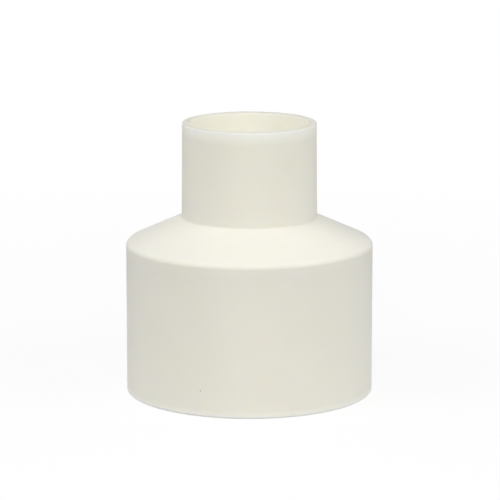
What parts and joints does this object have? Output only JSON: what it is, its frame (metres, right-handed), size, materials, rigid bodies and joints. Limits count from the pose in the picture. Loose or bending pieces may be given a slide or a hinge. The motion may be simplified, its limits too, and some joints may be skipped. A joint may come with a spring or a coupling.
{
  "type": "pipe reducer",
  "caption": "Moulded cream plastic pipe reducer: a wide round socket narrows through a short cone to a smaller socket, joining pipes of different diameter in line.",
  "frame": {"origin": "centre of the wide mouth, in the plane of the rim that the reducer stands on", "axes": "+Z along the pipe axis, from the wide socket to the narrow one; X and Y are free, because the form is turned"},
  "size_m": [0.1222, 0.1222, 0.1349],
  "materials": {
    "cream_pvc": "satin"
  },
  "bodies": {
    "root": {"reducer": "cream_pvc"}
  },
  "joints": []
}
